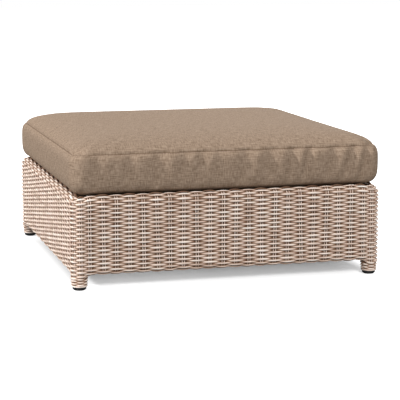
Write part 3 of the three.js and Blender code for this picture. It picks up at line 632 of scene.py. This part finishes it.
def cushion_form(inward):
    """The cushion as a box of three surfaces: a crowned top, a belly and the boxing between.

    The top and the belly are square grids moved onto the rounded plan, and the boxing carries
    their common edge along the side's profile. All of it is drawn inwards by the given length.
    Returns points, faces, cloth coordinates and the numbers of the points on the top seam.
    """
    half = np.concatenate([np.linspace(0, PLAIN_REACH, PLAIN_STEPS), SEAM_STEPS])
    steps = np.concatenate([-half[:0:-1], half])
    n = steps.size
    a, b = np.meshgrid(steps, steps, indexing="ij")

    def panel(drawn, z):
        """The grid's points on the plan drawn in so far, at the heights z."""
        gone = drawn + inward
        corner = CUSHION_CORNER - drawn * CORNER_DRAW - inward
        x, y = plan_point(a, b, CUSHION_X - gone, CUSHION_Y - gone, corner)
        middle = (BELLY + CROWN) / 2
        z = middle + (z - middle) * (1 - 2 * inward / (CROWN - BELLY))
        return np.stack([x + CUSHION_SHIFT[0], y + CUSHION_SHIFT[1], z], axis=-1)

    levels, shares = zip(*PROFILE)
    top = panel(shares[-1] * UNDER_EDGE, SEAM + (CROWN - SEAM) * crown_share(a, b))
    belly = panel(UNDER_EDGE, SEAT - (SEAT - BELLY) * crown_share(a, b))
    edge = np.concatenate([
        np.arange(n - 1) * n, (n - 1) * n + np.arange(n - 1),
        (n - 1) * n + n - 1 - np.arange(n - 1) * n, n - 1 - np.arange(n - 1),
    ])
    up = np.array(BOXING_STEPS)
    drawn = np.interp(up, levels, shares)
    rows = []
    for height, share in zip(up[1:-1], drawn[1:-1]):
        ring = panel(share * UNDER_EDGE, np.full(a.shape, SEAT + (SEAM - SEAT) * height))
        rows.append(ring.reshape(-1, 3)[edge])
    points = np.concatenate([top.reshape(-1, 3), belly.reshape(-1, 3), *rows])

    grid = np.arange(n * n).reshape(n, n)
    corners = [grid[:-1, :-1], grid[1:, :-1], grid[1:, 1:], grid[:-1, 1:]]
    top_faces = np.stack(corners, axis=-1).reshape(-1, 4)
    belly_faces = top_faces[:, ::-1] + n * n
    around = edge.size
    between = [2 * n * n + row * around + np.arange(around) for row in range(len(rows))]
    rings = np.array([edge + n * n, *between, edge])
    quads = np.concatenate([top_faces, belly_faces, walls(rings)])

    ring_xy = points[edge][:, :2]
    lengths = np.linalg.norm(np.roll(ring_xy, -1, axis=0) - ring_xy, axis=1)
    start = np.concatenate([[0], np.cumsum(lengths)])
    v = SEAT + (SEAM - SEAT) * up
    u0, u1 = (np.tile(u, (len(rings) - 1, 1)) for u in (start[:-1], start[1:]))
    v0, v1 = (np.tile(level[:, None], (1, around)) for level in (v[:-1], v[1:]))
    turned = ((u0, v0), (u1, v0), (u1, v1), (u0, v1))
    side_uv = np.stack([np.stack(pair, -1) for pair in turned], axis=2).reshape(-1, 2)
    top_uv = points[top_faces.ravel()][:, :2]
    belly_uv = points[belly_faces.ravel()][:, :2] + BELLY_CLOTH
    uv = np.concatenate([top_uv, belly_uv, side_uv + BOXING_CLOTH])
    return points, quads, uv, edge


def sew(points, seam):
    """Marks of sewing on the filled form: the seam drawn in, soft folds under it, and the zip's place.

    A fold is a trough of a Gaussian section with a low swelling on either side. It grows over the
    lower third of the boxing and goes out across the seam. Behind the zip the boxing is held flat,
    as deep as the tape lies, and the lower edge sinks at the corners.
    """
    moved = points.copy()
    local = points - [*CUSHION_SHIFT, 0]
    inner = unit(local[seam] * [1, 1, 0])
    moved[seam] -= SEAM_GROOVE * inner + [0, 0, SEAM_GROOVE * SEAM_DIP]

    up = (points[:, 2] - SEAT) / (SEAM - SEAT)
    strength = smooth((up - FOLD_IN[0]) / FOLD_IN[1]) * (1 - smooth((up - FOLD_OUT[0]) / FOLD_OUT[1]))
    dent = np.zeros(len(points))
    for place, width, depth, lean in FOLDS:
        middle = place + lean * (points[:, 2] - FOLD_LEVEL)
        off = (points[:, 0] - middle) / width
        right = FOLD_SWELL * np.exp(-((off - FOLD_APART) ** 2))
        left = FOLD_SWELL * np.exp(-((off + FOLD_APART) ** 2))
        dent += depth * (np.exp(-off**2) - right - left)
    front = smooth((-local[:, 1] - EDGE_FROM) / EDGE_LENGTH) * (np.abs(points[:, 0]) < FOLD_REACH)
    moved[:, 1] += dent * strength * front

    beside = smooth((ZIP_HALF_LENGTH + ZIP_BESIDE - np.abs(points[:, 0])) / ZIP_BESIDE)
    over = smooth((ZIP_HALF_HEIGHT + ZIP_OVER - np.abs(points[:, 2] - ZIP_HEIGHT)) / ZIP_OVER)
    proud = np.maximum(moved[:, 1] - ZIP_FACE, 0) * (local[:, 1] > BACK_FROM)
    moved[:, 1] -= proud * beside * over

    corner = smooth((np.abs(local[:, :2]) - EDGE_FROM) / EDGE_LENGTH).prod(axis=1)
    moved[:, 2] -= DECK_SINK * corner * smooth((SEAT + SINK_HEIGHT - points[:, 2]) / SINK_HEIGHT)
    return moved


def fill_out(cover):
    """Blows the cover up as cloth for CLOTH_STEPS, and lets no point move further than CLOTH_REACH."""
    before = np.empty(len(cover.data.vertices) * 3, np.float32)
    cover.data.vertices.foreach_get("co", before)
    cloth = cover.modifiers.new("fill", "CLOTH")
    cloth.settings.use_pressure = True
    cloth.settings.uniform_pressure_force = CLOTH_PRESSURE
    cloth.settings.effector_weights.gravity = 0
    cloth.settings.quality = CLOTH_QUALITY
    scene = bpy.context.scene
    for step in range(CLOTH_STEPS):
        scene.frame_set(step + 1)
    shape = cover.evaluated_get(bpy.context.evaluated_depsgraph_get()).data
    after = np.empty_like(before)
    shape.vertices.foreach_get("co", after)
    cover.modifiers.remove(cloth)
    scene.frame_set(1)
    move = (after - before).reshape(-1, 3)
    far = np.linalg.norm(move, axis=1, keepdims=True)
    kept = move * np.minimum(1, CLOTH_REACH / np.maximum(far, 1e-9))
    return before.reshape(-1, 3) + kept


def make_cushion(fabric, wadding, foam):
    """The cover, its form filled out as cloth and then sewn, and the wadding and foam inside it."""
    points, quads, uv, seam = cushion_form(0.0)
    cover = quad_mesh("cushion_cover_fabric", points, quads, uv=uv)
    # Points of the top seam, where the cover is painted a faint darker line, the shade of its groove.
    at_seam = np.zeros(len(points), np.float32)
    at_seam[seam] = 1
    cover.data.attributes.new("seam", "FLOAT", "POINT").data.foreach_set("value", at_seam)
    points = fill_out(cover)
    cover.data.vertices.foreach_set("co", sew(points, seam).astype(np.float32).ravel())
    cover.data.update()
    more = cover.modifiers.new("finer", "SUBSURF")
    more.levels = more.render_levels = 1
    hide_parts("cushion_cover")
    dress(cover, fabric, "cushion")
    for name, node, inward, finish, slot in (
        ("cushion_wadding", "cushion_fibre_wrap", WADDING_INWARD, wadding, "cushion_fibre"),
        ("cushion_foam_block", "cushion_foam_core", FOAM_INWARD, foam, "cushion_foam"),
    ):
        points, quads, uv = cushion_form(inward)[:3]
        inside = quad_mesh(name, points, quads, uv=uv)
        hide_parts(node)
        dress(inside, finish, "cushion")


# Deck and zip

def rivets(material):
    """Two blind rivets through each end of each strap, into the seat rail.

    A rivet is its head turned round an upright axis: a thin flange, then a low dome.
    """
    share, rise = np.array(RIVET_HEAD).T[:, :, None]
    turn = np.arange(RIVET_SIDES) * 2 * math.pi / RIVET_SIDES
    reach = share * RIVET_RADIUS
    ring = np.broadcast_arrays(reach * np.cos(turn), reach * np.sin(turn), rise + STRAP_TOP)
    head = np.stack(ring, axis=-1)
    along = np.array([
        (end * RIVET_LINE, middle + side * RIVET_ASIDE)
        for end in (-1, 1) for middle in STRAP_MIDDLES for side in (-1, 1)
    ])
    places = np.concatenate([along, along[:, ::-1]])
    level = np.zeros((len(places), 1))
    points = head[None] + np.concatenate([places, level], axis=1)[:, None, None]
    index = np.arange(points[..., 0].size).reshape(points.shape[:3])
    made = quad_mesh("strap_rivets", points.reshape(-1, 3), walls(index))
    dress(made, material, "base")


def zip_coil(material):
    """The zip's coil: a small arch across the chain for each tooth, one side's between the other's.

    An arch is at its crest in the middle and falls away with the fourth power of the distance.
    """
    count = int(2 * COIL_REACH / COIL_PITCH)
    x = np.linspace(-COIL_REACH, COIL_REACH, count)[:, None]
    side = np.where(np.arange(count) % 2 == 0, 1, -1)[:, None]
    across = np.linspace(-COIL_OUT, COIL_IN, COIL_POINTS)
    z = ZIP_HEIGHT + side * across
    y = COIL_FACE - COIL_ACROSS - COIL_ARCH * (across / COIL_OUT) ** 4
    axes = np.stack(np.broadcast_arrays(x, y, z), axis=-1)
    normals = np.zeros(axes.shape)
    normals[..., 1] = 1
    teeth = tubes(axes, normals, 0, COIL_ACROSS, COIL_RISE, COIL_SIDES, np.arange(count))
    made = bundle("zip_coil", [teeth])
    dress(made, material, "cushion")


# Materials

def linear(code):
    """An sRGB hex colour as linear light."""
    parts = [int(code[place:place + 2], 16) / 255 for place in (1, 3, 5)]
    return (*[p / 12.92 if p <= 0.04045 else ((p + 0.055) / 1.055) ** 2.4 for p in parts], 1)


def add(tree, kind, values=None, stops=(), **settings):
    """Adds a node.

    settings are its properties. values are its sockets, each a number or a link. stops are the
    places and hex colours of a colour ramp.
    """
    made = tree.nodes.new(f"ShaderNode{kind}")
    for key, value in settings.items():
        setattr(made, key, value)
    for key, value in (values or {}).items():
        socket = made.inputs[key]
        if isinstance(value, bpy.types.NodeSocket):
            tree.links.new(value, socket)
        else:
            socket.default_value = value
    if stops:
        band = made.color_ramp.elements
        while len(band) < len(stops):
            band.new(0.5)
        for element, (place, code) in zip(band, stops):
            element.position = place
            element.color = linear(code)
    return made


def blank(name):
    """A new material without any nodes, and its tree."""
    made = bpy.data.materials.new(name)
    made.use_nodes = True
    made.node_tree.nodes.clear()
    return made, made.node_tree


def finish_with(made, values):
    """Gives a material its principled shader and its output."""
    shader = add(made.node_tree, "BsdfPrincipled", values).outputs[0]
    add(made.node_tree, "OutputMaterial", {"Surface": shader})
    return made


def grains(tree, surface, *kinds):
    """Noise on a surface's own coordinates, one for each kind: its grain's size and its detail."""
    made = []
    for (length, width), detail in kinds:
        stretch = {0: surface, 1: (1 / length, 1 / width, 1)}
        place = add(tree, "VectorMath", stretch, operation="MULTIPLY").outputs[0]
        values = {"Vector": place, "Scale": 1.0, "Detail": detail}
        made.append(add(tree, "TexNoise", values).outputs[0])
    return made


def resin_wicker():
    # Extruded polyethylene strand, washed cream over tan: long streaks, a satin gloss, fine grooves.
    # Its brown deepens with depth: partly the wash, partly painted shade in the recesses.
    made, tree = blank("extruded_polyethylene_wicker")
    strand = add(tree, "Attribute", attribute_name="strand").outputs["Vector"]
    streaks, tone, grooves = grains(tree, strand, (STREAK, 3.0), (TONE, 1.0), (GROOVE, 2.0))
    shade = {"Factor": 0.5, 2: streaks, 3: tone}
    shade = add(tree, "Mix", shade, data_type="FLOAT").outputs[0]
    cream = add(tree, "ValToRGB", {0: shade}, stops=(
        (0.32, "#bda392"), (0.44, "#e6d1c3"), (0.53, "#fff0e5"), (0.68, "#fffaf4"),
    )).outputs[0]
    # Painted shade and highlight: the deeper a point lies, the browner it is painted, nearly black in the
    # recesses, while the outer crests stay white.
    depth = add(tree, "Attribute", attribute_name="wash_and_shade").outputs["Fac"]
    rubbed_and_shaded = add(tree, "MapRange", {0: depth, 1: WASH_SHADE_LOW, 2: WASH_SHADE_HIGH, 3: 0.0, 4: 1.0}).outputs[0]
    brown = add(tree, "ValToRGB", {0: rubbed_and_shaded}, stops=(
        (0.0, "#ffffff"), (0.10, "#fff8f2"), (0.19, "#b79f8d"), (0.40, "#8f7663"),
        (0.65, "#664d3b"), (0.85, "#432d1f"), (1.0, "#2f1e13"),
    )).outputs[0]
    colours = {0: 1.0, 6: cream, 7: brown}
    washed_and_shaded = add(tree, "Mix", colours, data_type="RGBA", blend_type="MULTIPLY").outputs[2]
    gloss = add(tree, "MapRange", {0: grooves, 3: 0.45, 4: 0.68}).outputs[0]
    bump = add(tree, "Bump", {"Height": grooves, "Strength": 0.35, "Distance": 0.0004}).outputs[0]
    return finish_with(made, {
        "Base Color": washed_and_shaded, "Roughness": gloss, "IOR": 1.5, "Specular IOR Level": 0.3,
        "Normal": bump,
    })


def cushion_linen():
    # Solution-dyed acrylic canvas in a linen weave: heathered threads with slubs both ways, matt.
    made, tree = blank("woven_acrylic_linen")
    cloth = add(tree, "UVMap", uv_map="cloth").outputs[0]
    # The threads are drawn about 3 mm apart, as coarse as they need to be to show.
    across, along = grains(tree, cloth, (WEFT_SLUB, 2.0), (WARP_SLUB, 2.0))
    threads = {"Factor": 0.5, 2: across, 3: along}
    threads = add(tree, "Mix", threads, data_type="FLOAT").outputs[0]
    dyed = add(tree, "ValToRGB", {0: threads}, stops=(
        (0.35, "#7d6956"), (0.5, "#96816e"), (0.65, "#ae9884"),
    )).outputs[0]
    # The fabric turns in at the seam, and a faint darker line is painted there as the shade of its
    # groove.
    seam = add(tree, "Attribute", attribute_name="seam").outputs["Fac"]
    turned = add(tree, "ValToRGB", {0: seam}, stops=((0.40, "#ffffff"), (1.0, "#c2b9b1"))).outputs[0]
    colours = {0: 1.0, 6: dyed, 7: turned}
    colour = add(tree, "Mix", colours, data_type="RGBA", blend_type="MULTIPLY").outputs[2]
    bump = add(tree, "Bump", {"Height": threads, "Strength": 0.5, "Distance": 0.0006}).outputs[0]
    return finish_with(made, {
        "Base Color": colour, "Roughness": 0.92, "Specular IOR Level": 0.2, "Sheen Weight": 0.04,
        "Sheen Roughness": 0.5, "Sheen Tint": linear("#d9c2aa"), "Normal": bump,
    })


def plain_finish(name, low, high, speck, roughness, metallic=0.0, strength=0.15):
    """A finish with a fine bump, its colour between two tones in specks of a size in metres."""
    made, tree = blank(name)
    place = add(tree, "TexCoord").outputs["Object"]
    grain = add(tree, "TexNoise", {"Vector": place, "Scale": 1 / speck, "Detail": 4.0}).outputs[0]
    colour = add(tree, "ValToRGB", {0: grain}, stops=((0.35, low), (0.65, high))).outputs[0]
    rough = add(tree, "MapRange", {0: grain, 3: roughness - 0.06, 4: roughness + 0.06}).outputs[0]
    bump = add(tree, "Bump", {"Height": grain, "Strength": strength, "Distance": 0.0003}).outputs[0]
    return finish_with(made, {
        "Base Color": colour, "Roughness": rough, "Metallic": metallic, "Normal": bump,
    })


def strap_webbing():
    # Woven polypropylene webbing: flat tapes of yarn crossing at right angles, dull, with a rib.
    made, tree = blank("woven_polypropylene_webbing")
    place = add(tree, "TexCoord").outputs["Object"]
    # The yarns are drawn 2.5 mm apart, as coarse as they need to be to show.
    values = {"Vector": place, "Scale": BAND / YARN, "Distortion": 0.6, "Detail": 1.0}
    ribs = [add(tree, "TexWave", values, bands_direction=way).outputs["Fac"] for way in ("X", "Y")]
    basket = add(tree, "Math", {0: ribs[0], 1: ribs[1]}, operation="MULTIPLY").outputs[0]
    values = {"Vector": place, "Scale": 1 / YARN_FIBRE, "Detail": 2.0}
    fibre = add(tree, "TexNoise", values).outputs[0]
    yarn = {"Factor": 0.35, 2: basket, 3: fibre}
    yarn = add(tree, "Mix", yarn, data_type="FLOAT").outputs[0]
    colour = add(tree, "ValToRGB", {0: yarn}, stops=(
        (0.05, "#2a211a"), (0.35, "#43362c"), (0.7, "#5f4f42"),
    )).outputs[0]
    rough = add(tree, "MapRange", {0: fibre, 3: 0.66, 4: 0.84}).outputs[0]
    bump = add(tree, "Bump", {"Height": yarn, "Strength": 0.6, "Distance": 0.0005}).outputs[0]
    return finish_with(made, {"Base Color": colour, "Roughness": rough, "Normal": bump})


def zip_ribbon():
    # Polyester zip tape: a fine ribbed weave along its length, dull.
    made, tree = blank("woven_polyester_zip_tape")
    place = add(tree, "TexCoord").outputs["Object"]
    # The ribs are drawn 1 mm apart, as coarse as they need to be to show.
    ribs = []
    for way, width in (("Z", TAPE_RIB), ("X", TAPE_YARN)):
        values = {"Vector": place, "Scale": BAND / width, "Distortion": 0.3}
        ribs.append(add(tree, "TexWave", values, bands_direction=way).outputs["Fac"])
    weave = add(tree, "Math", {0: ribs[0], 1: ribs[1]}, operation="MULTIPLY").outputs[0]
    stops = ((0.05, "#6c5b4b"), (0.6, "#8b7865"))
    colour = add(tree, "ValToRGB", {0: weave}, stops=stops).outputs[0]
    rough = add(tree, "MapRange", {0: weave, 3: 0.88, 4: 0.74}).outputs[0]
    bump = add(tree, "Bump", {"Height": weave, "Strength": 0.5, "Distance": 0.0003}).outputs[0]
    return finish_with(made, {"Base Color": colour, "Roughness": rough, "Normal": bump})


def paint_nodes(start, material):
    """Gives a finish to every CAD node whose name begins so."""
    for name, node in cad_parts.items():
        if name.startswith(start):
            node.data.materials.clear()
            node.data.materials.append(material)


# Stage

def camera():
    """The photograph's view, solved from the rows and columns of the weave."""
    data = bpy.data.cameras.new("camera")
    data.lens = LENS
    data.sensor_width = SENSOR
    data.clip_end = 100
    made = bpy.data.objects.new("camera", data)
    made.location = CAMERA_PLACE
    made.rotation_euler = (math.radians(90 - CAMERA_DOWN), 0, math.radians(CAMERA_TURN))
    bpy.context.scene.collection.objects.link(made)
    bpy.context.scene.camera = made


def sunlight(name, toward, angle, power):
    """A parallel soft light that comes from a direction, with an angular size in degrees."""
    data = bpy.data.lights.new(name, "SUN")
    data.angle = math.radians(angle)
    data.energy = power
    made = bpy.data.objects.new(name, data)
    x, y, z = toward
    made.rotation_euler = (math.atan2(math.hypot(x, y), z), 0, math.atan2(x, -y))
    bpy.context.scene.collection.objects.link(made)


def floor_glow(tree):
    """How strongly the floor glows: little under the object, and fully where it has to be white.

    In front and behind it grows with a power of the distance from the middle, a little less
    towards the right, and beside the object it turns white within a short stretch. That paints the
    object's shadow on the floor: darkest under it, fading out in front and beside, and reaching
    further on the right.
    """
    place = add(tree, "TexCoord").outputs["Object"]
    flat = add(tree, "VectorMath", {0: place}, operation="ABSOLUTE").outputs[0]
    apart = add(tree, "SeparateXYZ", {0: flat}).outputs
    # Painted shadow: this mask keeps the glow low under the object and lower towards the right.
    ahead = add(tree, "MapRange", {0: apart[1], 2: GLOW_AHEAD}).outputs[0]
    ahead = add(tree, "Math", {0: ahead, 1: GLOW_POWER}, operation="POWER").outputs[0]
    across = add(tree, "SeparateXYZ", {0: place}).outputs[0]
    shade = add(tree, "MapRange", {0: across, 1: -HALF, 2: HALF, 3: 1.0, 4: GLOW_RIGHT}).outputs[0]
    ahead = add(tree, "Math", {0: ahead, 1: shade}, operation="MULTIPLY").outputs[0]
    start, stop = GLOW_SIDE
    beside = add(
        tree, "MapRange", {0: apart[0], 1: start, 2: stop}, interpolation_type="SMOOTHSTEP",
    ).outputs[0]
    reach = add(tree, "Math", {0: ahead, 1: beside, 2: GLOW_BLEND}, operation="SMOOTH_MAX").outputs[0]
    return add(tree, "MapRange", {0: reach, 3: GLOW_LEAST, 4: 1.0}).outputs[0]


def stage():
    """A floor that keeps the object's shadow, and a white surround.

    The floor glows for the camera alone, so that it is white away from the object. Under it the
    glow is low, which paints part of the object's shadow there. For all other rays it is a plain
    grey. The surround is white to the camera and in reflections, and lights the object with less.
    """
    quads = np.array([[0, 1, 2, 3]])
    signs = np.array([[-1, -1, 0], [1, -1, 0], [1, 1, 0], [-1, 1, 0]])
    floor = quad_mesh("floor", signs * float(FLOOR), quads)
    made, tree = blank("white_studio_floor")
    pale = add(tree, "BsdfDiffuse", {"Color": linear("#f4f4f4")}).outputs[0]
    grey = add(tree, "BsdfDiffuse", {"Color": linear("#8e8e8e")}).outputs[0]
    light = add(tree, "Emission", {"Strength": floor_glow(tree)}).outputs[0]
    lifted = add(tree, "AddShader", {0: pale, 1: light}).outputs[0]
    seen = add(tree, "LightPath").outputs["Is Camera Ray"]
    mixed = add(tree, "MixShader", {0: seen, 1: grey, 2: lifted}).outputs[0]
    add(tree, "OutputMaterial", {"Surface": mixed})
    floor.data.materials.append(made)

    world = bpy.data.worlds.new("surround")
    bpy.context.scene.world = world
    world.use_nodes = True
    tree = world.node_tree
    tree.nodes.clear()
    path = add(tree, "LightPath").outputs
    white = path["Is Camera Ray"]
    for ray in ("Is Glossy Ray", "Is Transmission Ray"):
        white = add(tree, "Math", {0: white, 1: path[ray]}, operation="MAXIMUM").outputs[0]
    strength = add(tree, "MapRange", {0: white, 3: SKY_LIGHT, 4: 1.0}).outputs[0]
    sky = add(tree, "Background", {"Color": (1, 1, 1, 1), "Strength": strength}).outputs[0]
    add(tree, "OutputWorld", {"Surface": sky})
    bpy.context.scene.view_settings.view_transform = "Standard"


camera()
sunlight("key_left", toward=(-0.84, 0.02, 0.51), angle=7, power=2.65)
sunlight("high_front", toward=(-0.06, -0.83, 0.555), angle=16, power=1.98)
sunlight("low_back", toward=(0.55, 0.76, 0.35), angle=20, power=0.6)
stage()
make_wicker(resin_wicker())
make_cushion(
    cushion_linen(),
    plain_finish("polyester_wadding", "#efece4", "#f6f4ee", 1 / 300, 0.95),
    plain_finish("polyurethane_foam", "#e3d6a8", "#efe4bb", 1 / 600, 0.95),
)
coated_tube = plain_finish("powder_coated_aluminium_tube", "#5f4f43", "#6b5a4c", 1 / 900, 0.5)
for start in ("leg_", "top_rail_", "bottom_rail_", "upright_", "seat_rail_", "deck_brace"):
    paint_nodes(start, coated_tube)
paint_nodes("glide_", plain_finish("moulded_black_nylon", "#121213", "#1c1c1e", 1 / 700, 0.45))
paint_nodes("strap_", strap_webbing())
rivets(plain_finish(
    "brown_painted_aluminium_rivet", "#8d8071", "#a3968a", 1 / 700, 0.38, metallic=1.0,
))
paint_nodes("zip_tape", zip_ribbon())
zip_coil(plain_finish("polyester_monofilament_coil", "#4b3f35", "#5d5044", 1 / 800, 0.42))
zinc = plain_finish("cast_zinc_alloy", "#7d766a", "#8f887b", 1 / 600, 0.35, metallic=1.0)
for start in ("zip_slider", "zip_pull"):
    paint_nodes(start, zinc)
